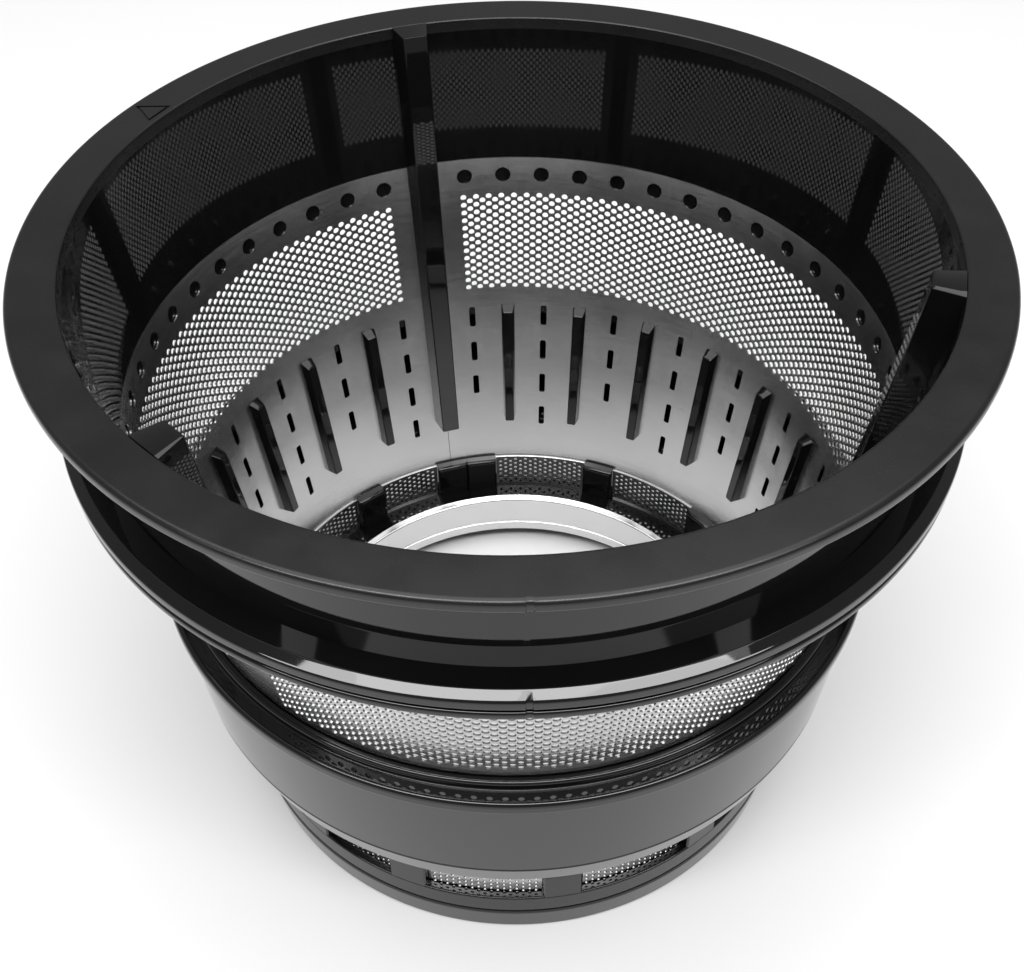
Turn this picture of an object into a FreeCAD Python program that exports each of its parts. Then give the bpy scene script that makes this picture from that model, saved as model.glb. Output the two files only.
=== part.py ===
"""Strainer basket of a slow juicer, as a parametric FreeCAD document.

Millimetres. The origin is the centre of the base on the face that the basket
stands on, and +Z is the basket's axis, up. Azimuths are measured clockwise
from +Y, seen from above, and guide rib 1 is at azimuth 0.
"""

import FreeCAD
import Part

import os

import Sketcher

DIMENSIONS = {
    # rim and upper wall
    "total_height": 101.7,
    "rim_radius": 65.0,
    "rim_mouth_radius": 58.5,
    "rim_thickness": 1.8,
    "rim_edge_round": 0.7,
    "wall_slope": 0.128,
    "wall_bottom_z": 72.0,
    "wall_outer_top_radius": 60.8,
    "wall_outer_low_radius": 58.4,
    "wall_foot_radius": 56.9,
    # hoop round the foot of the upper wall
    "hoop_radius": 62.8,
    "hoop_top_z": 83.0,
    "hoop_bottom_z": 78.3,
    "hoop_groove_z": 80.4,
    "hoop_groove_depth": 1.0,
    "hoop_edge_round": 0.5,
    # steel screen cone
    "screen_top_z": 77.6,
    "screen_bottom_z": 15.6,
    "screen_top_radius": 55.4,
    "screen_slope": 0.156,
    "screen_thickness": 0.4,
    "panel_angle": 119.9,
    "anchor_hole_radius": 1.3,
    "anchor_hole_z": 74.5,
    "column_start_angle": 52.5,
    "column_spread_angle": 105.0,
    "anchor_hole_count": 16,
    "slot_column_count": 8,
    "long_column_count": 4,
    "long_column_spread_angle": 90.0,
    "slot_width": 1.2,
    "slot_length": 4.0,
    "slot_top_z": 47.0,
    "slot_step": 7.3,
    # guide ribs, from the rim down the wall and the screen
    "guide_bottom_z": 25.6,
    "guide_back_angle": 2.81,
    "guide_front_angle": 2.06,
    "guide_height_top": 4.3,
    "guide_height_low": 3.5,
    # pressing ribs, on the lower screen only
    "press_top_z": 49.2,
    "press_bottom_z": 24.9,
    "press_back_angle": 1.4,
    "press_front_angle": 1.0,
    "press_height": 1.7,
    # shelf and skirt round the lower screen
    "shelf_radius": 55.2,
    "shelf_top_z": 49.3,
    "shelf_thickness": 2.0,
    "shelf_lip_width": 1.1,
    "shelf_lip_height": 1.3,
    "skirt_top_radius": 54.6,
    "skirt_band_radius": 52.9,
    "skirt_band_z": 28.8,
    "skirt_bottom_radius": 51.5,
    "skirt_bottom_z": 23.9,
    "skirt_thickness": 1.2,
    "skirt_web_radius": 47.6,
    "skirt_web_thickness": 1.1,
    # drain windows near the floor
    "drain_radius": 46.9,
    "drain_ring_top_radius": 48.0,
    "drain_ring_top_z": 22.9,
    "drain_sill_z": 9.7,
    "drain_mesh_radius": 45.2,
    "drain_mesh_thickness": 0.4,
    "drain_mesh_bottom_z": 8.0,
    "post_inner_radius": 43.9,
    "post_half_angle": 3.75,
    "post_gap_half_angle": 3.85,
    # base, collar and bush
    "base_radius": 47.1,
    "base_foot_radius": 46.3,
    "base_inner_radius": 43.6,
    "base_height": 6.1,
    "collar_outer_radius": 44.9,
    "collar_underside_z": 6.1,
    "collar_top_radius": 38.6,
    "collar_top_z": 11.3,
    "collar_sleeve_radius": 39.4,
    "collar_sleeve_bottom_z": 3.0,
    "bush_radius": 37.0,
    "bush_thickness": 0.8,
    "bush_bottom_z": 3.4,
    "bush_flange_width": 0.7,
    "bush_flange_height": 0.4,
}

GUIDE_AZIMUTHS = (0, 120, 240)
PANEL_AZIMUTHS = (60, 180, 300)
PRESS_AZIMUTHS = [azimuth for azimuth in range(15, 360, 15) if azimuth not in GUIDE_AZIMUTHS]
POST_AZIMUTHS = [7.5 + 30 * number for number in range(12)]

OUTPUT_FOLDER = "parts"

doc = FreeCAD.newDocument("strainer_basket")
sheet = doc.addObject("Spreadsheet::Sheet", "dims")
for row, (alias, value) in enumerate(DIMENSIONS.items(), start=1):
    sheet.set(f"A{row}", alias.replace("_", " "))
    sheet.set(f"B{row}", str(value))
    sheet.setAlias(f"B{row}", alias)
doc.recompute()

sub_parts = []


def dim(alias):
    """The expression that reads one cell of the sheet."""
    return f"dims.{alias}"


def wall_radius(height):
    """Inner radius of the upper wall at a height, as an expression."""
    return f"({dim('rim_mouth_radius')} - {dim('wall_slope')} * ({dim('total_height')} - ({height})))"


def screen_radius(height):
    """Inner radius of the steel screen at a height, as an expression."""
    return f"({dim('screen_top_radius')} - {dim('screen_slope')} * ({dim('screen_top_z')} - ({height})))"


def screen_back(height):
    """Outer radius of the steel screen at a height, as an expression."""
    return f"({screen_radius(height)} + {dim('screen_thickness')})"


def new_body(label, azimuth=90.0):
    """An empty body whose local +X points along an azimuth."""
    body = doc.addObject("PartDesign::Body", label)
    body.Label = label
    body.AllowCompound = True
    turn = FreeCAD.Rotation(FreeCAD.Vector(0, 0, 1), 90.0 - azimuth)
    body.Placement = FreeCAD.Placement(FreeCAD.Vector(0, 0, 0), turn)
    sub_parts.append(body)
    return body


def new_sketch(body, name, role, offset=None):
    """An empty sketch on one of the body's own origin planes."""
    sketch = body.newObject("Sketcher::SketchObject", f"{body.Name}_{name}")
    plane = next(item for item in body.Origin.OriginFeatures if item.Role == role)
    sketch.AttachmentSupport = [(plane, "")]
    sketch.MapMode = "FlatFace"
    if offset is not None:
        sketch.AttachmentOffset = offset
    return sketch


def place_point(sketch, geometry, point, position):
    """Hold one point of a sketch at a position given as two expressions."""
    for kind, property_name, expression in zip(("DistanceX", "DistanceY"), "xy", position):
        value = sketch.evalExpression(expression)
        if abs(value) < 1e-9:
            axis = -2 if property_name == "x" else -1
            sketch.addConstraint(Sketcher.Constraint("PointOnObject", geometry, point, axis))
            continue
        index = sketch.addConstraint(Sketcher.Constraint(kind, -1, 1, geometry, point, value))
        sketch.setExpression(f"Constraints[{index}]", expression)


def add_polygon(sketch, corners):
    """A closed outline of straight lines through corners given as expressions."""
    points = [FreeCAD.Vector(*(sketch.evalExpression(value) for value in corner), 0) for corner in corners]
    first = sketch.GeometryCount
    count = len(points)
    for number in range(count):
        sketch.addGeometry(Part.LineSegment(points[number], points[(number + 1) % count]), False)
    for number in range(count):
        line = first + number
        next_line = first + (number + 1) % count
        sketch.addConstraint(Sketcher.Constraint("Coincident", line, 2, next_line, 1))
    for number, corner in enumerate(corners):
        place_point(sketch, first + number, 1, corner)


def revolve(label, corners, azimuth=90.0, angle=None):
    """A body turned round the axis from an outline of (radius, height) corners."""
    body = new_body(label, azimuth)
    sketch = new_sketch(body, "outline", "XZ_Plane")
    add_polygon(sketch, corners)
    turned = body.newObject("PartDesign::Revolution", f"{body.Name}_turned")
    turned.Profile = sketch
    turned.ReferenceAxis = (sketch, ["V_Axis"])
    turned.Angle = 360.0
    if angle is not None:
        turned.Midplane = True
        turned.setExpression("Angle", angle)
    sketch.Visibility = False
    doc.recompute()
    return body


def radial_rib(label, azimuth, levels, back_angle, front_angle):
    """A rib of trapezoid plan, lofted through levels of (height, back radius, rib height)."""
    body = new_body(label, azimuth)
    sections = []
    for number, (height, back, rise) in enumerate(levels):
        sketch = new_sketch(body, f"level_{number}", "XY_Plane")
        sketch.setExpression("AttachmentOffset.Base.z", height)
        front = f"({back} - {rise})"
        add_polygon(sketch, [
            (f"{back} * cos({back_angle})", f"-{back} * sin({back_angle})"),
            (f"{back} * cos({back_angle})", f"{back} * sin({back_angle})"),
            (f"{front} * cos({front_angle})", f"{front} * sin({front_angle})"),
            (f"{front} * cos({front_angle})", f"-{front} * sin({front_angle})"),
        ])
        sections.append(sketch)
    doc.recompute()
    loft = body.newObject("PartDesign::AdditiveLoft", f"{body.Name}_loft")
    loft.Profile = sections[0]
    loft.Sections = sections[1:]
    loft.Ruled = True
    doc.recompute()
    return body


def cut_pattern(body, name, angle, outlines, circles, spread, count):
    """Cut outlines and circles outwards through the body at an angle, and repeat them."""
    turn = FreeCAD.Rotation(FreeCAD.Vector(0, 1, 0), angle)
    offset = FreeCAD.Placement(FreeCAD.Vector(0, 0, 0), turn)
    sketch = new_sketch(body, name, "YZ_Plane", offset)
    for corners in outlines:
        add_polygon(sketch, corners)
    for position, radius in circles:
        centre = FreeCAD.Vector(*(sketch.evalExpression(value) for value in position), 0)
        circle = Part.Circle(centre, FreeCAD.Vector(0, 0, 1), sketch.evalExpression(radius))
        geometry = sketch.addGeometry(circle, False)
        place_point(sketch, geometry, 3, position)
        index = sketch.addConstraint(Sketcher.Constraint("Radius", geometry, sketch.evalExpression(radius)))
        sketch.setExpression(f"Constraints[{index}]", radius)
    volume_before = body.Shape.Volume
    pocket = body.newObject("PartDesign::Pocket", f"{body.Name}_{name}_cut")
    pocket.Profile = sketch
    pocket.Type = "ThroughAll"
    pocket.Reversed = True
    doc.recompute()
    if body.Shape.Volume >= volume_before:
        raise RuntimeError(f"{body.Label}: {name} cuts nothing")
    pattern = body.newObject("PartDesign::PolarPattern", f"{body.Name}_{name}_pattern")
    pattern.Originals = [pocket]
    pattern.Axis = (sketch, ["V_Axis"])
    pattern.setExpression("Angle", spread)
    pattern.setExpression("Occurrences", count)
    body.Tip = pattern
    doc.recompute()


def round_edges(body, radius, wanted):
    """Round the edges of the body's last feature that a test picks out."""
    base = body.Tip
    names = [f"Edge{number}" for number, edge in enumerate(base.Shape.Edges, start=1) if wanted(edge)]
    fillet = body.newObject("PartDesign::Fillet", f"{body.Name}_round")
    fillet.Base = (base, names)
    fillet.setExpression("Radius", radius)
    body.Tip = fillet
    doc.recompute()


def ring_edge(radius, height=None):
    """A test for the round edges at a radius, and at a height when one is given."""
    def wanted(edge):
        curve = edge.Curve
        if not isinstance(curve, Part.Circle):
            return False
        same_radius = abs(curve.Radius - radius) < 1e-3
        return same_radius and (height is None or abs(curve.Center.z - height) < 1e-3)
    return wanted


def make_rim_and_wall():
    """The flat rim, the conical wall under it, and the hoop round the wall's foot."""
    top = dim("total_height")
    under_rim = f"({top} - {dim('rim_thickness')})"
    rim = revolve("top_rim", [
        (dim("rim_mouth_radius"), top),
        (dim("rim_radius"), top),
        (dim("rim_radius"), under_rim),
        (wall_radius(under_rim), under_rim),
    ])
    round_edges(rim, dim("rim_edge_round"), ring_edge(sheet.get("rim_radius")))

    wall_seat = dim("screen_top_z")
    wall_foot = dim("wall_bottom_z")
    revolve("upper_wall", [
        (wall_radius(under_rim), under_rim),
        (dim("wall_outer_top_radius"), under_rim),
        (dim("wall_outer_low_radius"), dim("hoop_top_z")),
        (dim("wall_outer_low_radius"), dim("hoop_bottom_z")),
        (dim("wall_foot_radius"), wall_foot),
        (screen_back(wall_foot), wall_foot),
        (screen_back(wall_seat), wall_seat),
        (wall_radius(wall_seat), wall_seat),
    ])

    groove_radius = f"{dim('hoop_radius')} - {dim('hoop_groove_depth')}"
    groove_half = f"{dim('hoop_groove_depth')} / 2"
    hoop = revolve("upper_hoop", [
        (dim("wall_outer_low_radius"), dim("hoop_top_z")),
        (dim("hoop_radius"), dim("hoop_top_z")),
        (dim("hoop_radius"), f"{dim('hoop_groove_z')} + {groove_half}"),
        (groove_radius, dim("hoop_groove_z")),
        (dim("hoop_radius"), f"{dim('hoop_groove_z')} - {groove_half}"),
        (dim("hoop_radius"), dim("hoop_bottom_z")),
        (dim("wall_outer_low_radius"), dim("hoop_bottom_z")),
    ])
    round_edges(hoop, dim("hoop_edge_round"), ring_edge(sheet.get("hoop_radius")))


def make_screen_panels():
    """Three steel panels, each with a row of anchor holes and columns of slots."""
    half_width = f"{dim('slot_width')} / 2"
    half_length = f"{dim('slot_length')} / 2"

    def slot(number):
        centre = f"({dim('slot_top_z')} - {number} * {dim('slot_step')})"
        low = f"{centre} - {half_length}"
        high = f"{centre} + {half_length}"
        return [(f"-{half_width}", low), (half_width, low), (half_width, high), (f"-{half_width}", high)]

    anchor_hole = (("0", dim("anchor_hole_z")), dim("anchor_hole_radius"))
    for number, azimuth in enumerate(PANEL_AZIMUTHS, start=1):
        panel = revolve(f"screen_panel_{number}", [
            (screen_radius(dim("screen_top_z")), dim("screen_top_z")),
            (screen_back(dim("screen_top_z")), dim("screen_top_z")),
            (screen_back(dim("screen_bottom_z")), dim("screen_bottom_z")),
            (screen_radius(dim("screen_bottom_z")), dim("screen_bottom_z")),
        ], azimuth, dim("panel_angle"))
        start = -sheet.get("column_start_angle")
        cut_pattern(panel, "anchors", start, [], [anchor_hole],
                    dim("column_spread_angle"), dim("anchor_hole_count"))
        cut_pattern(panel, "slots", start, [slot(0), slot(1), slot(2)], [],
                    dim("column_spread_angle"), dim("slot_column_count"))
        cut_pattern(panel, "low_slots", start, [slot(3)], [],
                    dim("long_column_spread_angle"), dim("long_column_count"))


def make_ribs():
    """Three guide ribs from the rim down, and the pressing ribs between them."""
    guide_levels = [
        (dim("total_height"), dim("rim_mouth_radius"), dim("guide_height_top")),
        (dim("screen_top_z"), screen_radius(dim("screen_top_z")), dim("guide_height_top")),
        (dim("guide_bottom_z"), screen_radius(dim("guide_bottom_z")), dim("guide_height_low")),
    ]
    for number, azimuth in enumerate(GUIDE_AZIMUTHS, start=1):
        radial_rib(f"guide_rib_{number}", azimuth, guide_levels,
                   dim("guide_back_angle"), dim("guide_front_angle"))
    press_levels = [
        (height, screen_radius(height), dim("press_height"))
        for height in (dim("press_top_z"), dim("press_bottom_z"))
    ]
    for number, azimuth in enumerate(PRESS_AZIMUTHS, start=1):
        radial_rib(f"pressing_rib_{number:02d}", azimuth, press_levels,
                   dim("press_back_angle"), dim("press_front_angle"))


def make_shelf_and_skirt():
    """The flat shelf round the screen, and the skirt that hangs from it, with a web at its foot."""
    shelf_top = dim("shelf_top_z")
    lip_top = f"({shelf_top} + {dim('shelf_lip_height')})"
    shelf_under = f"({shelf_top} - {dim('shelf_thickness')})"
    revolve("lower_shelf_ring", [
        (screen_back(lip_top), lip_top),
        (f"{screen_back(lip_top)} + {dim('shelf_lip_width')}", lip_top),
        (f"{screen_back(lip_top)} + {dim('shelf_lip_width')}", shelf_top),
        (dim("shelf_radius"), shelf_top),
        (dim("shelf_radius"), shelf_under),
        (screen_back(shelf_under), shelf_under),
    ])
    web_top = f"{dim('drain_ring_top_z')} + {dim('skirt_web_thickness')}"
    revolve("lower_skirt", [
        (dim("skirt_top_radius"), shelf_under),
        (dim("skirt_band_radius"), dim("skirt_band_z")),
        (dim("skirt_bottom_radius"), dim("skirt_bottom_z")),
        (dim("drain_ring_top_radius"), dim("drain_ring_top_z")),
        (dim("skirt_web_radius"), dim("drain_ring_top_z")),
        (dim("skirt_web_radius"), web_top),
        (f"{dim('skirt_bottom_radius')} - {dim('skirt_thickness')}",
         f"{dim('skirt_bottom_z')} + {dim('skirt_thickness')}"),
        (f"{dim('skirt_band_radius')} - {dim('skirt_thickness')}", dim("skirt_band_z")),
        (f"{dim('skirt_top_radius')} - {dim('skirt_thickness')}", shelf_under),
    ])


def make_drain():
    """The ring of drain windows: an upper ring, posts, rib feet, mesh and a sill ring."""
    window_top = dim("screen_bottom_z")
    ring_top = dim("drain_ring_top_z")
    mesh_bottom = dim("drain_mesh_bottom_z")
    mesh_back = f"({dim('drain_mesh_radius')} + {dim('drain_mesh_thickness')})"
    revolve("drain_upper_ring", [
        (screen_back(window_top), window_top),
        (dim("drain_radius"), window_top),
        (dim("drain_ring_top_radius"), ring_top),
        (screen_back(ring_top), ring_top),
    ])
    revolve("drain_sill_ring", [
        (dim("collar_outer_radius"), dim("base_height")),
        (dim("drain_radius"), dim("base_height")),
        (dim("drain_radius"), dim("drain_sill_z")),
        (mesh_back, dim("drain_sill_z")),
        (mesh_back, mesh_bottom),
        (dim("collar_outer_radius"), mesh_bottom),
    ])

    ledge_fall = f"({dim('collar_top_z')} - {mesh_bottom})"
    ledge_reach = f"({dim('collar_outer_radius')} - {dim('collar_top_radius')})"
    post_depth = f"({dim('collar_outer_radius')} - {dim('post_inner_radius')})"
    post_outline = [
        (mesh_back, mesh_bottom),
        (mesh_back, dim("drain_sill_z")),
        (dim("drain_radius"), dim("drain_sill_z")),
        (dim("drain_radius"), window_top),
        (dim("post_inner_radius"), window_top),
        (dim("post_inner_radius"), f"{mesh_bottom} + {post_depth} * {ledge_fall} / {ledge_reach}"),
        (dim("collar_outer_radius"), mesh_bottom),
    ]
    post_angle = f"2 * {dim('post_half_angle')}"
    for number, azimuth in enumerate(POST_AZIMUTHS, start=1):
        revolve(f"window_post_{number:02d}", post_outline, azimuth, post_angle)
    for number, azimuth in enumerate(GUIDE_AZIMUTHS, start=1):
        revolve(f"rib_foot_{number}", post_outline, azimuth, post_angle)

    mesh = revolve("drain_mesh", [
        (dim("drain_mesh_radius"), mesh_bottom),
        (mesh_back, mesh_bottom),
        (mesh_back, window_top),
        (dim("drain_mesh_radius"), window_top),
    ], POST_AZIMUTHS[0])
    half_gap = f"({mesh_back} * sin({dim('post_gap_half_angle')}))"
    floor = f"{mesh_bottom} - 1"
    ceiling = f"{window_top} + 1"
    gap = [(f"-{half_gap}", floor), (half_gap, floor), (half_gap, ceiling), (f"-{half_gap}", ceiling)]
    full_turn = "360"
    cut_pattern(mesh, "post_gaps", 0.0, [gap], [], full_turn, str(len(POST_AZIMUTHS)))
    foot_angle = POST_AZIMUTHS[0] - GUIDE_AZIMUTHS[0]
    cut_pattern(mesh, "foot_gaps", foot_angle, [gap], [], full_turn, str(len(GUIDE_AZIMUTHS)))


def make_base():
    """The base ring, the collar with its sloping ledge, and the steel bush in its bore."""
    revolve("base_ring", [
        (dim("base_inner_radius"), "0"),
        (dim("base_foot_radius"), "0"),
        (dim("base_radius"), dim("base_height")),
        (dim("base_inner_radius"), dim("base_height")),
    ])
    bush_back = f"({dim('bush_radius')} + {dim('bush_thickness')})"
    flange_radius = f"({bush_back} + {dim('bush_flange_width')})"
    flange_top = f"({dim('collar_top_z')} + {dim('bush_flange_height')})"
    revolve("bottom_collar", [
        (bush_back, dim("collar_sleeve_bottom_z")),
        (dim("collar_sleeve_radius"), dim("collar_sleeve_bottom_z")),
        (dim("collar_sleeve_radius"), dim("collar_underside_z")),
        (dim("collar_outer_radius"), dim("collar_underside_z")),
        (dim("collar_outer_radius"), dim("drain_mesh_bottom_z")),
        (dim("collar_top_radius"), dim("collar_top_z")),
        (bush_back, dim("collar_top_z")),
    ])
    revolve("bore_bush", [
        (dim("bush_radius"), dim("bush_bottom_z")),
        (bush_back, dim("bush_bottom_z")),
        (bush_back, dim("collar_top_z")),
        (flange_radius, dim("collar_top_z")),
        (flange_radius, flange_top),
        (dim("bush_radius"), flange_top),
    ])


def check_document():
    """Stop if any object failed, or any sub-part is not a sound solid."""
    for item in doc.Objects:
        for state in item.State:
            if state in ("Invalid", "Error"):
                raise RuntimeError(f"{item.Label} is {state}")
    for part in sub_parts:
        if part.Shape.isNull() or not part.Shape.isValid() or not part.Shape.Solids:
            raise RuntimeError(f"{part.Label} has no valid solid")


def export_parts():
    """Write each sub-part to its own STEP file."""
    os.makedirs(OUTPUT_FOLDER, exist_ok=True)
    for part in sub_parts:
        part.Shape.exportStep(os.path.join(OUTPUT_FOLDER, f"{part.Label}.step"))
        print(f"{part.Label}: {part.Shape.Volume:.1f} mm3, {len(part.Shape.Solids)} solid(s)")


make_rim_and_wall()
make_screen_panels()
make_ribs()
make_shelf_and_skirt()
make_drain()
make_base()
doc.recompute()
check_document()
export_parts()
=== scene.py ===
"""Looks of a slow juicer's strainer basket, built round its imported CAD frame. Lengths are metres,
except where a name ends in _mm: outlines are written in millimetres and scaled once, when meshed."""

import math

import bmesh
import bpy
import numpy as np
from mathutils import Matrix, Vector
from mathutils.geometry import delaunay_2d_cdt


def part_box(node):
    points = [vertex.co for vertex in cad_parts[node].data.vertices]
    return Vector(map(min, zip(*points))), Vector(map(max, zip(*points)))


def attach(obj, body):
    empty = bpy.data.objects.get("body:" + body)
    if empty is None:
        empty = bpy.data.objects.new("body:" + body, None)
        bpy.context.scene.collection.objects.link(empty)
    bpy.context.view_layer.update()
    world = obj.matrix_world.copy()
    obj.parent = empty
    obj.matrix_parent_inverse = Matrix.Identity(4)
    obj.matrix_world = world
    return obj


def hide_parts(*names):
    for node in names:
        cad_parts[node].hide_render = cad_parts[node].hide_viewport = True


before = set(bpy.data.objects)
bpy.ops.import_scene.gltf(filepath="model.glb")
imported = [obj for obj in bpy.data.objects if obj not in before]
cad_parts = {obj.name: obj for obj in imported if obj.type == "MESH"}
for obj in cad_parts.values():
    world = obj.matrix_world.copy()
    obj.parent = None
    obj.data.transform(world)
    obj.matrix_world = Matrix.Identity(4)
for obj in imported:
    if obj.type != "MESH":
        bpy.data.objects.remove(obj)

MM = 0.001
SAME_POINT_MM = 0.0005
SHARP_DEGREES = 32.0
BODY = "root"
RING_SEGMENTS = 360
PANEL_AZIMUTHS = (60.0, 180.0, 300.0)
GUIDE_AZIMUTHS = (0.0, 120.0, 240.0)
RIB_STEP = 15.0
FIRST_POST_AZIMUTH = 7.5
POST_STEP = 30.0
POST_COUNT = 12
POST_HALF_TURN = 3.72
WINDOW_HALF_TURN = 3.85
SEAM_AZIMUTH = 194.5
SKIRT_BAND_MM = 28.8
MARK_AZIMUTH = -44.3


def node_span_mm(node):
    """Lowest and highest height of a node, in millimetres."""
    low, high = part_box(node)
    return low.z / MM, high.z / MM


def node_radii_mm(node, height_mm):
    """Smallest and largest radius of a node's corners at a height, in millimetres."""
    points = np.array([vertex.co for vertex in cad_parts[node].data.vertices]) / MM
    level = points[np.abs(points[:, 2] - height_mm) < 0.03]
    radii = np.hypot(level[:, 0], level[:, 1])
    return float(radii.min()), float(radii.max())


def node_reach_mm(node):
    """Largest radius of a node, in millimetres."""
    points = np.array([vertex.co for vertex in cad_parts[node].data.vertices]) / MM
    return float(np.hypot(points[:, 0], points[:, 1]).max())


# ---------------------------------------------------------------- mesh helpers

def arc_reach(corners, number):
    """How far a corner's arc reaches along its two sides; nothing for a sharp corner."""
    x, y, radius = corners[number]
    if radius <= 0:
        return 0.0
    corner = Vector((x, y))
    before = Vector(corners[number - 1][:2]) - corner
    after = Vector(corners[(number + 1) % len(corners)][:2]) - corner
    return radius / math.tan(before.angle(after) / 2)


def rounded(corners, steps=5, support_mm=0.12):
    """A closed outline of (x, y, radius) corners, with each corner turned into an arc.

    A support point on each side of an arc keeps the shading of the long faces flat, where
    the side has room for it beside the next corner's own.
    """
    outline = []
    count = len(corners)
    reaches = [arc_reach(corners, number) for number in range(count)]
    for number, (x, y, radius) in enumerate(corners):
        corner = Vector((x, y))
        if radius <= 0:
            outline.append(corner)
            continue
        following = (number + 1) % count
        before = Vector(corners[number - 1][:2]) - corner
        after = Vector(corners[following][:2]) - corner
        half = before.angle(after) / 2
        reach = reaches[number]
        into = before.normalized()
        out = after.normalized()
        centre = corner + (into + out).normalized() * (radius / math.sin(half))
        start = corner + into * reach
        end = corner + out * reach
        if before.length > reach + reaches[number - 1] + 2 * support_mm:
            outline.append(start + into * support_mm)
        first = start - centre
        last = end - centre
        sweep = first.angle_signed(last)
        for step in range(steps + 1):
            turn = Matrix.Rotation(-sweep * step / steps, 2)
            outline.append(centre + turn @ first)
        if after.length > reach + reaches[following] + 2 * support_mm:
            outline.append(end + out * support_mm)
    steps_back = [(point - outline[number - 1]).length for number, point in enumerate(outline)]
    return [point for point, step_back in zip(outline, steps_back) if step_back > SAME_POINT_MM]


def face_outwards(mesh):
    """Turn every face of a closed mesh outwards."""
    shape = bmesh.new()
    shape.from_mesh(mesh)
    bmesh.ops.recalc_face_normals(shape, faces=shape.faces)
    shape.to_mesh(mesh)
    shape.free()


def finish_piece(name, vertices, faces, material, nodes):
    """Make the mesh object, give it its material, hang it under the body, and hide the frame nodes it
    stands for.
    """
    mesh = bpy.data.meshes.new(name)
    mesh.from_pydata(vertices, [], faces)
    mesh.validate()
    face_outwards(mesh)
    mesh.update()
    mesh.polygons.foreach_set("use_smooth", [True] * len(mesh.polygons))
    mesh.set_sharp_from_angle(angle=math.radians(SHARP_DEGREES))
    piece = bpy.data.objects.new(name, mesh)
    bpy.context.scene.collection.objects.link(piece)
    mesh.materials.append(material)
    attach(piece, BODY)
    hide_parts(*nodes)
    return piece


def polar(radius_mm, azimuth, height_mm):
    """A point in metres from a radius, an azimuth clockwise from +Y, and a height."""
    angle = math.radians(azimuth)
    return Vector((radius_mm * math.sin(angle), radius_mm * math.cos(angle), height_mm)) * MM


def lathe(name, outline, material, nodes, seam_depth_mm=0.0, seam_from_mm=None):
    """Turn a closed (radius, height) outline right round the axis, as one clean ring.

    With a seam depth, the outer side beyond a radius is pressed in along a narrow parting line.
    """
    azimuths = [360.0 * number / RING_SEGMENTS for number in range(RING_SEGMENTS)]
    seam_half, seam_edge, seam_clear = 0.32, 0.08, 0.2
    if seam_from_mm is not None:
        azimuths = [a for a in azimuths if abs(a - SEAM_AZIMUTH) > seam_half + seam_clear]
        azimuths += [SEAM_AZIMUTH - seam_half - seam_edge, SEAM_AZIMUTH - seam_half]
        azimuths += [SEAM_AZIMUTH + seam_half, SEAM_AZIMUTH + seam_half + seam_edge]
        azimuths.sort()
    vertices = []
    for azimuth in azimuths:
        pressed = seam_from_mm is not None and abs(azimuth - SEAM_AZIMUTH) <= seam_half + 1e-6
        for radius, height in outline:
            depth = seam_depth_mm if pressed and radius > seam_from_mm else 0.0
            vertices.append(polar(radius - depth, azimuth, height))
    size = len(outline)
    turns = len(azimuths)
    faces = []
    for turn in range(turns):
        here = turn * size
        there = (turn + 1) % turns * size
        for step in range(size):
            ahead = (step + 1) % size
            faces.append((here + step, here + ahead, there + ahead, there + step))
    return finish_piece(name, vertices, faces, material, nodes)


def block(name, levels, material, node):
    """A closed solid through matching loops of points, with flat ends."""
    vertices = [point for loop in levels for point in loop]
    size = len(levels[0])
    faces = [tuple(range(size))[::-1]]
    for level in range(len(levels) - 1):
        here = level * size
        there = here + size
        for step in range(size):
            ahead = (step + 1) % size
            faces.append((here + step, here + ahead, there + ahead, there + step))
    top = (len(levels) - 1) * size
    faces.append(tuple(top + step for step in range(size)))
    return finish_piece(name, vertices, faces, material, [node])


def perforated(outline, holes, filler, surface):
    """Vertices and faces of a curved sheet with real holes, all given as (across, up) points.

    surface(across, up, side) gives a point in metres on side 0, the inside, or side 1.
    """
    points = []
    edges = []
    for loop in [outline, *holes]:
        first = len(points)
        points.extend(loop)
        edges.extend((first + n, first + (n + 1) % len(loop)) for n in range(len(loop)))
    points.extend(filler)
    boundary = [list(range(len(outline)))]
    flat = [Vector(point) for point in points]
    cut = delaunay_2d_cdt(flat, edges, boundary, 0, 1e-5)
    made_points, made_faces = cut[0], cut[2]
    hole_centres = [np.mean(np.array(loop), axis=0) for loop in holes]
    hole_reach = [
        max(math.dist(centre, point) for point in loop)
        for centre, loop in zip(hole_centres, holes)
    ]
    keep = faces_outside_holes(made_points, made_faces, holes, hole_centres, hole_reach)
    used = sorted({index for face in keep for index in face})
    place = {index: number for number, index in enumerate(used)}
    count = len(used)
    vertices = [surface(*made_points[index], 0) for index in used]
    vertices += [surface(*made_points[index], 1) for index in used]
    faces = []
    rim = {}
    for face in keep:
        loop = [place[index] for index in face]
        faces.append(tuple(loop))
        faces.append(tuple(count + index for index in reversed(loop)))
        for number, start in enumerate(loop):
            end = loop[(number + 1) % len(loop)]
            if (end, start) in rim:
                del rim[(end, start)]
            else:
                rim[(start, end)] = True
    for start, end in rim:
        faces.append((end, start, count + start, count + end))
    return vertices, faces


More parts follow.
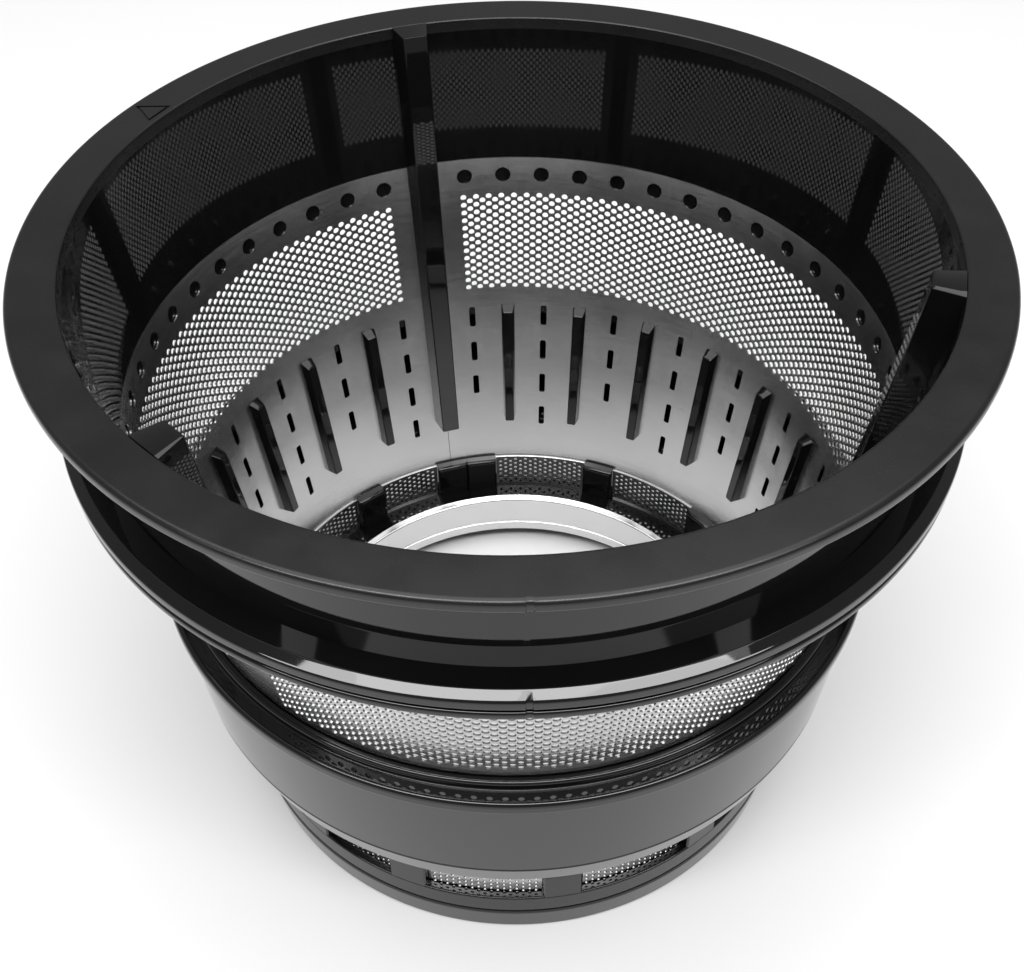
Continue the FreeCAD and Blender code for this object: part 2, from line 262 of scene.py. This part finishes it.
def faces_outside_holes(points, faces, holes, centres, reaches):
    """The faces whose middle lies in no hole, found on a coarse grid of hole centres."""
    cell = max(reaches) * 2
    grid = {}
    for number, centre in enumerate(centres):
        key = (int(centre[0] // cell), int(centre[1] // cell))
        grid.setdefault(key, []).append(number)
    keep = []
    for face in faces:
        middle = sum((Vector(points[index]) for index in face), Vector((0, 0))) / len(face)
        column, row = int(middle.x // cell), int(middle.y // cell)
        cells = [(column + dx, row + dy) for dx in (-1, 0, 1) for dy in (-1, 0, 1)]
        near = [number for key in cells for number in grid.get(key, [])]
        if not any(inside(middle, holes[n]) for n in near):
            keep.append(face)
    return keep


def inside(point, loop):
    """Whether a point lies inside a convex loop that turns counter-clockwise."""
    for number, (x, y) in enumerate(loop):
        next_x, next_y = loop[(number + 1) % len(loop)]
        if (next_x - x) * (point.y - y) - (next_y - y) * (point.x - x) < 0:
            return False
    return True


def round_hole(across, up, radius, sides):
    """A counter-clockwise loop for a round hole."""
    turns = [2 * math.pi * (side + 0.5) / sides for side in range(sides)]
    return [(across + radius * math.cos(turn), up + radius * math.sin(turn)) for turn in turns]


def slot_hole(across, up, width, length, corner=0.35, steps=3):
    """A counter-clockwise loop for an upright slot with rounded corners."""
    loop = []
    for quarter, (side_x, side_y) in enumerate([(1, 1), (-1, 1), (-1, -1), (1, -1)]):
        centre_x = across + side_x * (width / 2 - corner)
        centre_y = up + side_y * (length / 2 - corner)
        for step in range(steps + 1):
            turn = math.pi / 2 * (quarter + step / steps)
            loop.append((centre_x + corner * math.cos(turn), centre_y + corner * math.sin(turn)))
    return loop


# ---------------------------------------------------------------- materials

def new_material(name):
    """A material with a Principled shader, and its node tree."""
    material = bpy.data.materials.new(name)
    material.use_nodes = True
    tree = material.node_tree
    return material, tree, tree.nodes["Principled BSDF"]


def add_noise(tree, scale, detail=4.0, stretch=(1.0, 1.0, 1.0)):
    """A noise texture in the object's own coordinates, stretched along its axes."""
    coordinates = tree.nodes.new("ShaderNodeTexCoord")
    mapping = tree.nodes.new("ShaderNodeMapping")
    mapping.inputs["Scale"].default_value = stretch
    noise = tree.nodes.new("ShaderNodeTexNoise")
    noise.inputs["Scale"].default_value = scale
    noise.inputs["Detail"].default_value = detail
    tree.links.new(coordinates.outputs["Object"], mapping.inputs["Vector"])
    tree.links.new(mapping.outputs["Vector"], noise.inputs["Vector"])
    return noise


def add_range(tree, source, low, high, from_low=0.3, from_high=0.7):
    """Map a texture's value to a range."""
    remap = tree.nodes.new("ShaderNodeMapRange")
    remap.inputs["From Min"].default_value = from_low
    remap.inputs["From Max"].default_value = from_high
    remap.inputs["To Min"].default_value = low
    remap.inputs["To Max"].default_value = high
    tree.links.new(source.outputs[0], remap.inputs["Value"])
    return remap


def add_colour(tree, source, dark, light):
    """Map a texture's value to a grey between two levels."""
    ramp = tree.nodes.new("ShaderNodeValToRGB")
    ramp.color_ramp.elements[0].color = (dark, dark, dark, 1)
    ramp.color_ramp.elements[1].color = (light, light, light, 1)
    ramp.color_ramp.elements[0].position = 0.3
    ramp.color_ramp.elements[1].position = 0.7
    tree.links.new(source.outputs[0], ramp.inputs["Fac"])
    return ramp


def add_bump(tree, shader, layers):
    """Chain bumps of (texture, strength, depth in metres) into a shader's normal."""
    previous = None
    for source, strength, depth in layers:
        bump = tree.nodes.new("ShaderNodeBump")
        bump.inputs["Strength"].default_value = strength
        bump.inputs["Distance"].default_value = depth
        tree.links.new(source.outputs[0], bump.inputs["Height"])
        if previous is not None:
            tree.links.new(previous.outputs["Normal"], bump.inputs["Normal"])
        previous = bump
    tree.links.new(previous.outputs["Normal"], shader.inputs["Normal"])


def plastic(name, dark, light, smooth, rough, orange_peel, grain, shine=0.5):
    """Moulded black plastic: slight colour drift, patchy polish, orange peel and fine grain."""
    material, tree, shader = new_material(name)
    drift = add_noise(tree, 35.0)
    colour = add_colour(tree, drift, dark, light)
    tree.links.new(colour.outputs["Color"], shader.inputs["Base Color"])
    polish = add_noise(tree, 160.0, 6.0)
    roughness = add_range(tree, polish, smooth, rough)
    tree.links.new(roughness.outputs["Result"], shader.inputs["Roughness"])
    shader.inputs["IOR"].default_value = 1.5
    shader.inputs["Specular IOR Level"].default_value = shine
    peel = add_noise(tree, 90.0, 1.0)
    fine = add_noise(tree, 2600.0, 2.0)
    add_bump(tree, shader, [(peel, 0.25, orange_peel * MM), (fine, 0.3, grain * MM)])
    return material


def steel(name, dark, light, smooth, rough, grain):
    """Stainless steel with a fine grain drawn round the axis."""
    material, tree, shader = new_material(name)
    shader.inputs["Metallic"].default_value = 1.0
    cloud = add_noise(tree, 45.0)
    colour = add_colour(tree, cloud, dark, light)
    tree.links.new(colour.outputs["Color"], shader.inputs["Base Color"])
    brushed = add_noise(tree, 160.0, 6.0, (1.0, 1.0, 18.0))
    roughness = add_range(tree, brushed, smooth, rough)
    tree.links.new(roughness.outputs["Result"], shader.inputs["Roughness"])
    add_bump(tree, shader, [(brushed, 0.1, grain * MM)])
    return material


rim_black = plastic("rim_black_plastic", 0.004, 0.007, 0.22, 0.32, 0.01, 0.006)
gloss_black = plastic("gloss_black_plastic", 0.003, 0.005, 0.02, 0.05, 0.008, 0.0005)
wall_black = plastic("wall_black_plastic", 0.003, 0.005, 0.02, 0.05, 0.008, 0.0005, 0.32)
screen_steel = steel("screen_steel", 0.50, 0.56, 0.19, 0.25, 0.002)
bush_steel = steel("bush_steel", 0.62, 0.70, 0.12, 0.20, 0.002)


# ---------------------------------------------------------------- rings

def make_rim():
    """The flat rim, with its rounded edges and the parting line across its outer face."""
    low, high = node_span_mm("top_rim")
    mouth_top = node_radii_mm("top_rim", high)[0]
    mouth_low = node_radii_mm("top_rim", low)[0]
    reach = node_reach_mm("top_rim")
    outline = rounded([
        (mouth_top, high, 0.3), (reach, high, 0.7), (reach, low, 0.55), (mouth_low, low, 0.0),
    ])
    rim = lathe("top_rim_piece", outline, rim_black, ["top_rim"], 0.12, reach - 1.0)
    engrave_mark(rim, mouth_top, reach, high)


def engrave_mark(rim, inner, outer, top):
    """Cut the outline of the alignment triangle into the rim, pointing outwards."""
    def at(share, turn):
        return polar(inner + (outer - inner) * share, MARK_AZIMUTH + turn, 0.0)

    base_share, tip_share, half_turn = 0.14, 0.84, 2.5
    inner_scale = 0.74
    depth = 0.25 * MM
    outside = [at(base_share, -half_turn), at(base_share, half_turn), at(tip_share, 0.0)]
    middle = sum(outside, Vector()) / 3
    inside_loop = [middle + (corner - middle) * inner_scale for corner in outside]
    levels = [top * MM - depth, top * MM + depth]
    vertices = [Vector((p.x, p.y, z)) for z in levels for p in outside + inside_loop]
    faces = []
    for side in range(3):
        ahead = (side + 1) % 3
        faces.append((side, ahead, 3 + ahead, 3 + side))
        faces.append((6 + side, 9 + side, 9 + ahead, 6 + ahead))
        faces.append((side, 6 + side, 6 + ahead, ahead))
        faces.append((3 + side, 3 + ahead, 9 + ahead, 9 + side))
    mesh = bpy.data.meshes.new("mark_cutter")
    mesh.from_pydata(vertices, [], faces)
    cutter = bpy.data.objects.new("mark_cutter", mesh)
    bpy.context.scene.collection.objects.link(cutter)
    face_outwards(mesh)
    cut = rim.modifiers.new("mark", "BOOLEAN")
    cut.operation = "DIFFERENCE"
    cut.solver = "EXACT"
    cut.object = cutter
    graph = bpy.context.evaluated_depsgraph_get()
    marked = bpy.data.meshes.new_from_object(rim.evaluated_get(graph))
    rim.modifiers.clear()
    rim.data = marked
    marked.set_sharp_from_angle(angle=math.radians(SHARP_DEGREES))
    bpy.data.objects.remove(cutter)


def make_wall():
    """The glossy wall between the rim and the screen."""
    low, high = node_span_mm("upper_wall")
    screen_top = node_span_mm("screen_panel_1")[1]
    hoop_low, hoop_high = node_span_mm("upper_hoop")
    mouth, outer = node_radii_mm("upper_wall", high)
    inner, seat = node_radii_mm("upper_wall", screen_top)
    foot_inner, foot_outer = node_radii_mm("upper_wall", low)
    waist = node_radii_mm("upper_hoop", hoop_high)[0]
    outline = rounded([
        (mouth, high, 0.0), (outer, high, 0.0), (waist, hoop_high, 0.0), (waist, hoop_low, 0.0),
        (foot_outer, low, 0.4), (foot_inner, low, 0.15), (seat, screen_top, 0.0),
        (inner, screen_top, 0.12),
    ])
    lathe("upper_wall_piece", outline, wall_black, ["upper_wall"])


def make_hoop():
    """The hoop round the wall: a flat top, a wide bead, a groove, a second bead and an undercut."""
    low, high = node_span_mm("upper_hoop")
    waist = node_radii_mm("upper_hoop", high)[0]
    reach = node_reach_mm("upper_hoop")
    groove = reach - 1.1
    outline = rounded([
        (waist, high, 0.0), (reach - 1.35, high, 0.3), (reach, high - 0.85, 0.5),
        (reach, high - 2.2, 0.3), (groove, high - 2.35, 0.12), (groove, high - 2.9, 0.12),
        (reach - 0.15, high - 3.0, 0.45), (reach - 0.15, high - 4.1, 0.5),
        (reach - 1.6, low, 0.4), (waist, low, 0.0),
    ])
    lathe("upper_hoop_piece", outline, gloss_black, ["upper_hoop"], 0.12, groove + 0.3)


def make_shelf():
    """The flat shelf, with a raised lip against the screen."""
    low, high = node_span_mm("lower_shelf_ring")
    lip_inner, lip_outer = node_radii_mm("lower_shelf_ring", high)
    seat, reach = node_radii_mm("lower_shelf_ring", low)
    flat = low + 2.0
    outline = rounded([
        (lip_inner, high, 0.15), (lip_outer, high, 0.55), (lip_outer, flat, 0.25), (reach, flat, 0.75),
        (reach, low, 0.3), (seat, low, 0.0),
    ])
    lathe("lower_shelf_piece", outline, gloss_black, ["lower_shelf_ring"])


def make_skirt():
    """The skirt under the shelf: a tall band, a fine groove, and a foot that turns in to a web."""
    low, high = node_span_mm("lower_skirt")
    inner_top, outer_top = node_radii_mm("lower_skirt", high)
    inner_band, outer_band = node_radii_mm("lower_skirt", SKIRT_BAND_MM)
    web_inner, web_outer = node_radii_mm("lower_skirt", low)
    thickness = 1.2
    foot = low + 1.0
    outer_foot = node_radii_mm("lower_skirt", foot)[1]
    outline = rounded([
        (inner_top, high, 0.0), (outer_top, high, 0.0), (outer_band + 0.05, SKIRT_BAND_MM + 0.5, 0.15),
        (outer_band - 0.12, SKIRT_BAND_MM + 0.3, 0.08), (outer_band - 0.12, SKIRT_BAND_MM + 0.1, 0.08),
        (outer_band, SKIRT_BAND_MM - 0.1, 0.15), (outer_foot, foot, 0.5), (web_outer, low, 0.0),
        (web_inner, low, 0.0), (web_inner, foot, 0.0),
        (outer_foot - thickness, foot + thickness, 0.4),
        (inner_band, SKIRT_BAND_MM, 0.0),
    ])
    lathe("lower_skirt_piece", outline, gloss_black, ["lower_skirt"])


def make_drain_rings():
    """The ring over the drain windows and the sill under them."""
    low, high = node_span_mm("drain_upper_ring")
    inner_low, outer_low = node_radii_mm("drain_upper_ring", low)
    inner_high, outer_high = node_radii_mm("drain_upper_ring", high)
    outline = rounded([
        (inner_high, high, 0.0), (outer_high, high, 0.0), (outer_low, low, 0.25), (inner_low, low, 0.1),
    ])
    lathe("drain_upper_piece", outline, gloss_black, ["drain_upper_ring"])

    low, high = node_span_mm("drain_sill_ring")
    inner, outer = node_radii_mm("drain_sill_ring", low)
    sill_inner = node_radii_mm("drain_sill_ring", high)[0]
    step = node_span_mm("drain_mesh")[0]
    outline = rounded([
        (inner, low, 0.0), (outer, low, 0.25), (outer, high, 0.3), (sill_inner, high, 0.15),
        (sill_inner, step, 0.0), (inner, step, 0.0),
    ])
    lathe("drain_sill_piece", outline, gloss_black, ["drain_sill_ring"])


def make_base():
    """The base ring, the sloping collar and the steel bush that lines the bore."""
    low, high = node_span_mm("base_ring")
    inner, foot = node_radii_mm("base_ring", low)
    outer = node_radii_mm("base_ring", high)[1]
    outline = rounded([
        (inner, low, 0.3), (foot, low, 0.8), (outer, high, 0.8), (inner, high, 0.0),
    ])
    lathe("base_ring_piece", outline, gloss_black, ["base_ring"])

    low, high = node_span_mm("bottom_collar")
    bore, sleeve = node_radii_mm("bottom_collar", low)
    top_inner, top_outer = node_radii_mm("bottom_collar", high)
    under = node_span_mm("base_ring")[1]
    ledge_low = node_span_mm("drain_mesh")[0]
    rim = node_radii_mm("bottom_collar", under)[1]
    outline = rounded([
        (bore, low, 0.2), (sleeve, low, 0.3), (sleeve, under, 0.3), (rim, under, 0.0),
        (rim, ledge_low, 0.0), (top_outer, high, 0.5), (top_inner, high, 0.0),
    ])
    lathe("bottom_collar_piece", outline, gloss_black, ["bottom_collar"])

    low, high = node_span_mm("bore_bush")
    bore, back = node_radii_mm("bore_bush", low)
    flange = node_radii_mm("bore_bush", high)[1]
    collar_top = node_span_mm("bottom_collar")[1]
    groove = 5.6
    outline = rounded([
        (bore, low, 0.15), (back, low, 0.1), (back, collar_top, 0.0), (flange, collar_top, 0.1),
        (flange, high, 0.18), (bore, high, 0.3), (bore, groove + 0.3, 0.1),
        (bore + 0.3, groove + 0.15, 0.08), (bore + 0.3, groove - 0.15, 0.08),
        (bore, groove - 0.3, 0.1),
    ])
    lathe("bore_bush_piece", outline, bush_steel, ["bore_bush"])


# ---------------------------------------------------------------- ribs and posts

SCREEN_LOW, SCREEN_HIGH = node_span_mm("screen_panel_1")
SCREEN_LOW_RADIUS = node_radii_mm("screen_panel_1", SCREEN_LOW)[0]
SCREEN_HIGH_RADIUS = node_radii_mm("screen_panel_1", SCREEN_HIGH)[0]
SCREEN_SLOPE = (SCREEN_HIGH_RADIUS - SCREEN_LOW_RADIUS) / (SCREEN_HIGH - SCREEN_LOW)


def screen_radius_mm(height_mm):
    """Inner radius of the steel cone at a height."""
    return SCREEN_LOW_RADIUS + SCREEN_SLOPE * (height_mm - SCREEN_LOW)


def rib_loop(azimuth, height, back, rise, back_half, front_half, edge, fall=0.0):
    """A loop round a rib: wide at its back, narrower in front, with rounded front edges.

    The loop is level, or falls towards the front by a share of its reach.
    """
    front = back - rise
    plan = rounded([
        (back, -back_half, 0.0), (back, back_half, 0.0),
        (front, front_half, edge), (front, -front_half, edge),
    ], steps=4, support_mm=0.1)
    angle = math.radians(azimuth)
    out = Vector((math.sin(angle), math.cos(angle), 0.0))
    side = Vector((math.cos(angle), -math.sin(angle), 0.0))
    drops = [Vector((0, 0, height - fall * (back - x))) for x, y in plan]
    return [(out * x + side * y + drop) * MM for (x, y), drop in zip(plan, drops)]


def make_rib(name, node, azimuth, levels, edge, end_round, fall=0.0):
    """A rib lofted through levels of (height, back, rise, back half, front half), eased at its ends.

    Its top end is level, or falls towards the front.
    """
    def eased(level, down, inset, fall=0.0):
        height, back, rise, back_half, front_half = level
        shrink = end_round * inset
        return rib_loop(azimuth, height - end_round * down, back, rise - shrink,
                        back_half - shrink, front_half - shrink, edge, fall)

    end_steps = [(0.0, 1.0), (0.3, 0.3), (1.0, 0.0)]
    loops = [eased(levels[0], share, inset, fall) for share, inset in end_steps]
    loops += [rib_loop(azimuth, *level, edge) for level in levels[1:-1]]
    loops += [eased(levels[-1], -share, inset) for share, inset in reversed(end_steps)]
    loops.reverse()
    block(name, loops, gloss_black, node)


def make_guide_ribs():
    """The three long ribs, flush with the rim."""
    rim_top = node_span_mm("top_rim")[1]
    mouth = node_radii_mm("top_rim", rim_top)[0]
    joint = SCREEN_HIGH
    clear, foot_clear = 0.07, 0.06
    rise, foot_rise = 4.23, 3.44
    for number, azimuth in enumerate(GUIDE_AZIMUTHS, start=1):
        node = f"guide_rib_{number}"
        foot = node_span_mm(node)[0]
        levels = [
            (rim_top, mouth - clear, rise, 2.87, 1.95),
            (joint, screen_radius_mm(joint) - clear, rise, 2.7, 1.84),
            (foot, screen_radius_mm(foot) - foot_clear, foot_rise, 2.3, 1.56),
        ]
        make_rib(f"guide_rib_piece_{number}", node, azimuth, levels, 0.25, 0.15)


def make_pressing_ribs():
    """The short ribs on the lower screen."""
    clear, rise = 0.02, 1.68
    places = [RIB_STEP * step for step in range(round(360.0 / RIB_STEP))]
    azimuths = [azimuth for azimuth in places if azimuth not in GUIDE_AZIMUTHS]
    for number, azimuth in enumerate(azimuths, start=1):
        node = f"pressing_rib_{number:02d}"
        foot, top = node_span_mm(node)
        levels = [
            (top, screen_radius_mm(top) - clear, rise, 1.22, 0.87),
            (foot, screen_radius_mm(foot) - clear, rise, 1.12, 0.79),
        ]
        make_rib(f"pressing_rib_piece_{number:02d}", node, azimuth, levels, 0.22, 0.18, 0.5)


def make_posts():
    """The window posts and the feet under the guide ribs."""
    low, high = node_span_mm("window_post_01")
    sill_top = node_span_mm("drain_sill_ring")[1]
    mesh_inner = node_radii_mm("drain_mesh", high)[0]
    reach = node_reach_mm("window_post_01")
    step = mesh_inner + 0.4
    front, foot_front, lift = 43.95, 44.9, 0.03
    places = [
        (f"window_post_{n + 1:02d}", FIRST_POST_AZIMUTH + POST_STEP * n) for n in range(POST_COUNT)
    ]
    places += [(f"rib_foot_{n + 1}", azimuth) for n, azimuth in enumerate(GUIDE_AZIMUTHS)]
    outline = rounded([
        (front, low + 0.55, 0.0), (foot_front, low + lift, 0.0), (step, low + lift, 0.0),
        (step, sill_top, 0.0), (reach, sill_top, 0.0), (reach, high, 0.2), (front, high, 0.6),
    ], steps=4)
    bevel_turn, bevel_mm = 0.35, 0.25
    flat_turn = POST_HALF_TURN - bevel_turn
    turns = [-POST_HALF_TURN, -flat_turn, 0.0, flat_turn, POST_HALF_TURN]
    for node, azimuth in places:
        loops = []
        for turn in turns:
            inset = bevel_mm if abs(turn) == POST_HALF_TURN else 0.0
            loop = []
            for radius, height in outline:
                inner_side, outer_side = radius < step - 1, radius > step + 0.1
                eased = radius + inset * (inner_side - outer_side)
                loop.append(polar(eased, azimuth + turn, height))
            loops.append(loop)
        block(f"{node}_piece", loops, gloss_black, node)


# ---------------------------------------------------------------- steel screen

SHEET_MM = 0.28
HOLE_RADIUS_MM = 0.52
HOLE_SIDES = 10
ANCHOR_HEIGHT_MM = 74.5
ANCHOR_RADIUS_MM = 1.3
DRAIN_SHEET_MM = 0.25
DRAIN_HOLE_MM = 0.3
DRAIN_COLUMNS = 288


def screen_holes(across_per_degree):
    """The holes of one panel: large anchor holes, fine holes in a staggered field, and slots."""
    holes = []
    for number in range(16):
        across = (-52.5 + 7.0 * number) * across_per_degree
        holes.append(round_hole(across, ANCHOR_HEIGHT_MM, ANCHOR_RADIUS_MM, 24))
    field_half, columns = 52.9, 91
    pitch = 2 * field_half / (columns - 1)
    field_top, field_bottom, rise = 70.6, 51.8, 1.46
    rows = int((field_top - field_bottom) / rise)
    for column in range(columns):
        across = (-field_half + pitch * column) * across_per_degree
        offset = rise / 2 if column % 2 else 0.0
        for row in range(rows + 1 - column % 2):
            up = field_top - rise * row - offset
            holes.append(round_hole(across, up, HOLE_RADIUS_MM, HOLE_SIDES))
    slot_top, slot_rise, slot_width, slot_length = 47.0, 7.3, 1.2, 4.0
    for column in range(8):
        across = (-52.5 + RIB_STEP * column) * across_per_degree
        slots = 4 if column % 2 else 3
        for number in range(slots):
            holes.append(slot_hole(across, slot_top - slot_rise * number, slot_width, slot_length))
    return holes


def make_screen_panels():
    """Three perforated panels, alike but for where they stand round the axis."""
    mean = screen_radius_mm(62.0)
    half_span = math.radians(59.95) * mean
    across_per_degree = math.radians(1.0) * mean
    holes = screen_holes(across_per_degree)
    lines = 120
    crosses = [-half_span + 2 * half_span * n / lines for n in range(lines + 1)]
    levels = [19.5, 24.0, 28.7, 31.0, 36.0, 41.0, 45.0, 49.6, 72.5, 76.6]
    outline = [(x, SCREEN_LOW) for x in crosses] + [(crosses[-1], z) for z in levels]
    outline += [(x, SCREEN_HIGH) for x in reversed(crosses)]
    outline += [(crosses[0], z) for z in reversed(levels)]
    margin = 0.25
    boxes = [
        (min(x for x, _ in loop) - margin, max(x for x, _ in loop) + margin,
         min(z for _, z in loop) - margin, max(z for _, z in loop) + margin)
        for loop in holes if len(loop) != HOLE_SIDES
    ]
    filler = [
        (x, z) for z in levels for x in crosses[1:-1]
        if not any(x0 < x < x1 and z0 < z < z1 for x0, x1, z0, z1 in boxes)
    ]
    for number, azimuth in enumerate(PANEL_AZIMUTHS, start=1):
        def surface(across, up, side, middle=azimuth):
            radius = screen_radius_mm(up) + SHEET_MM * side
            return polar(radius, middle + across / across_per_degree, up)
        vertices, faces = perforated(outline, holes, filler, surface)
        finish_piece(f"screen_panel_piece_{number}", vertices, faces,
                     screen_steel, [f"screen_panel_{number}"])


def make_drain_mesh():
    """The fine mesh in the drain windows: a sheet in each window, joined into one piece."""
    low, high = node_span_mm("drain_mesh")
    inner = node_radii_mm("drain_mesh", high)[0] + 0.05
    per_degree = math.radians(1.0) * inner
    pitch = 360.0 / DRAIN_COLUMNS
    rise, rows, margin, edge = 1.1, 6, 0.5, 0.02

    def surface(across, up, side):
        return polar(inner + DRAIN_SHEET_MM * side, across / per_degree, up)

    vertices = []
    faces = []
    for start, end in window_spans():
        holes = []
        first_column = math.ceil((start + margin) / pitch)
        last_column = math.floor((end - margin) / pitch)
        for column in range(first_column, last_column + 1):
            offset = rise / 2 if column % 2 else 0.0
            for row in range(rows):
                up = low + 0.75 + rise * row + offset
                if up < high - 0.45:
                    holes.append(round_hole(column * pitch * per_degree, up, DRAIN_HOLE_MM, 8))
        steps = max(8, int((end - start) * per_degree / 1.2))
        crosses = [(start + (end - start) * n / steps) * per_degree for n in range(steps + 1)]
        outline = [(x, low + edge) for x in crosses] + [(x, high - edge) for x in reversed(crosses)]
        sheet_vertices, sheet_faces = perforated(outline, holes, [], surface)
        first = len(vertices)
        vertices += sheet_vertices
        faces += [tuple(first + index for index in face) for face in sheet_faces]
    finish_piece("drain_mesh_piece", vertices, faces, screen_steel, ["drain_mesh"])


def window_spans():
    """Start and end azimuth of each drain window, between posts and rib feet."""
    posts = [FIRST_POST_AZIMUTH + POST_STEP * n for n in range(POST_COUNT)]
    blocked = sorted([*posts, *GUIDE_AZIMUTHS])
    pairs = zip(blocked, [*blocked[1:], blocked[0] + 360.0])
    narrowest = 10.0
    return [
        (azimuth + WINDOW_HALF_TURN, following - WINDOW_HALF_TURN)
        for azimuth, following in pairs if following - azimuth > narrowest
    ]


# ---------------------------------------------------------------- stage

def make_stage():
    """A plain pale floor, a dim sky, and two soft boxes over the basket."""
    floor_mesh = bpy.data.meshes.new("floor")
    half = 6.0
    corners = [(-half, -half, 0), (half, -half, 0), (half, half, 0), (-half, half, 0)]
    floor_mesh.from_pydata(corners, [], [(0, 1, 2, 3)])
    floor = bpy.data.objects.new("floor", floor_mesh)
    floor.location.z = -0.02 * MM
    bpy.context.scene.collection.objects.link(floor)
    floor_mesh.materials.append(floor_material())

    world = bpy.data.worlds.new("studio")
    world.use_nodes = True
    bpy.context.scene.world = world
    background = world.node_tree.nodes["Background"]
    background.inputs["Color"].default_value = (1, 1, 1, 1)
    background.inputs["Strength"].default_value = 0.30

    add_lamp("top_box", (0.0, 0.0, 0.95), (1.10, 1.10), 8.0)
    add_lamp("front_box", (-0.11, -0.39, 0.78), (1.40, 0.14), 7.0)


def floor_material():
    """Plain pale matt floor, the same all over."""
    material, _, shader = new_material("floor_white")
    shader.inputs["Base Color"].default_value = (0.8, 0.8, 0.8, 1)
    shader.inputs["Roughness"].default_value = 0.8
    return material


def add_lamp(name, location, size, power):
    """A soft box of a (width, height) size that points at the middle of the basket."""
    light = bpy.data.lights.new(name, "AREA")
    light.shape = "RECTANGLE"
    light.size, light.size_y = size
    light.energy = power
    lamp = bpy.data.objects.new(name, light)
    lamp.location = location
    lamp.rotation_mode = "QUATERNION"
    aim = Vector((0, 0, 0.05)) - Vector(location)
    lamp.rotation_quaternion = aim.to_track_quat("-Z", "Y")
    bpy.context.scene.collection.objects.link(lamp)


def make_camera():
    """A camera at azimuth 196 degrees, looking down into the basket, as in the photograph."""
    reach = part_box("top_rim")[1].x
    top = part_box("top_rim")[1].z
    azimuth = math.radians(195.77)
    distance = 2.335 * reach
    pitch = math.radians(44.15)
    yaw = math.radians(-0.14)
    roll = math.radians(0.87)
    level = math.cos(pitch)
    forward = Vector((math.sin(yaw) * level, math.cos(yaw) * level, -math.sin(pitch)))
    right = Vector((math.cos(yaw), -math.sin(yaw), 0))
    up = right.cross(forward)
    rolled_right = right * math.cos(roll) - up * math.sin(roll)
    rolled_up = right * math.sin(roll) + up * math.cos(roll)
    turn = Matrix.Rotation(math.pi - azimuth, 3, "Z")
    axes = Matrix((turn @ rolled_right, turn @ rolled_up, turn @ -forward)).transposed()
    data = bpy.data.cameras.new("camera")
    data.sensor_width = 36.0
    data.lens = 48.298
    data.shift_x = 0.00078
    data.shift_y = -0.02334
    camera = bpy.data.objects.new("camera", data)
    height = top + 1.593 * reach
    place = Vector((distance * math.sin(azimuth), distance * math.cos(azimuth), height))
    camera.matrix_world = Matrix.Translation(place) @ axes.to_4x4()
    bpy.context.scene.collection.objects.link(camera)
    bpy.context.scene.camera = camera


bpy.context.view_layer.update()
make_camera()
make_stage()
make_rim()
make_wall()
make_hoop()
make_shelf()
make_skirt()
make_drain_rings()
make_base()
make_guide_ribs()
make_pressing_ribs()
make_posts()
make_screen_panels()
make_drain_mesh()
bpy.context.scene.view_settings.view_transform = "Standard"
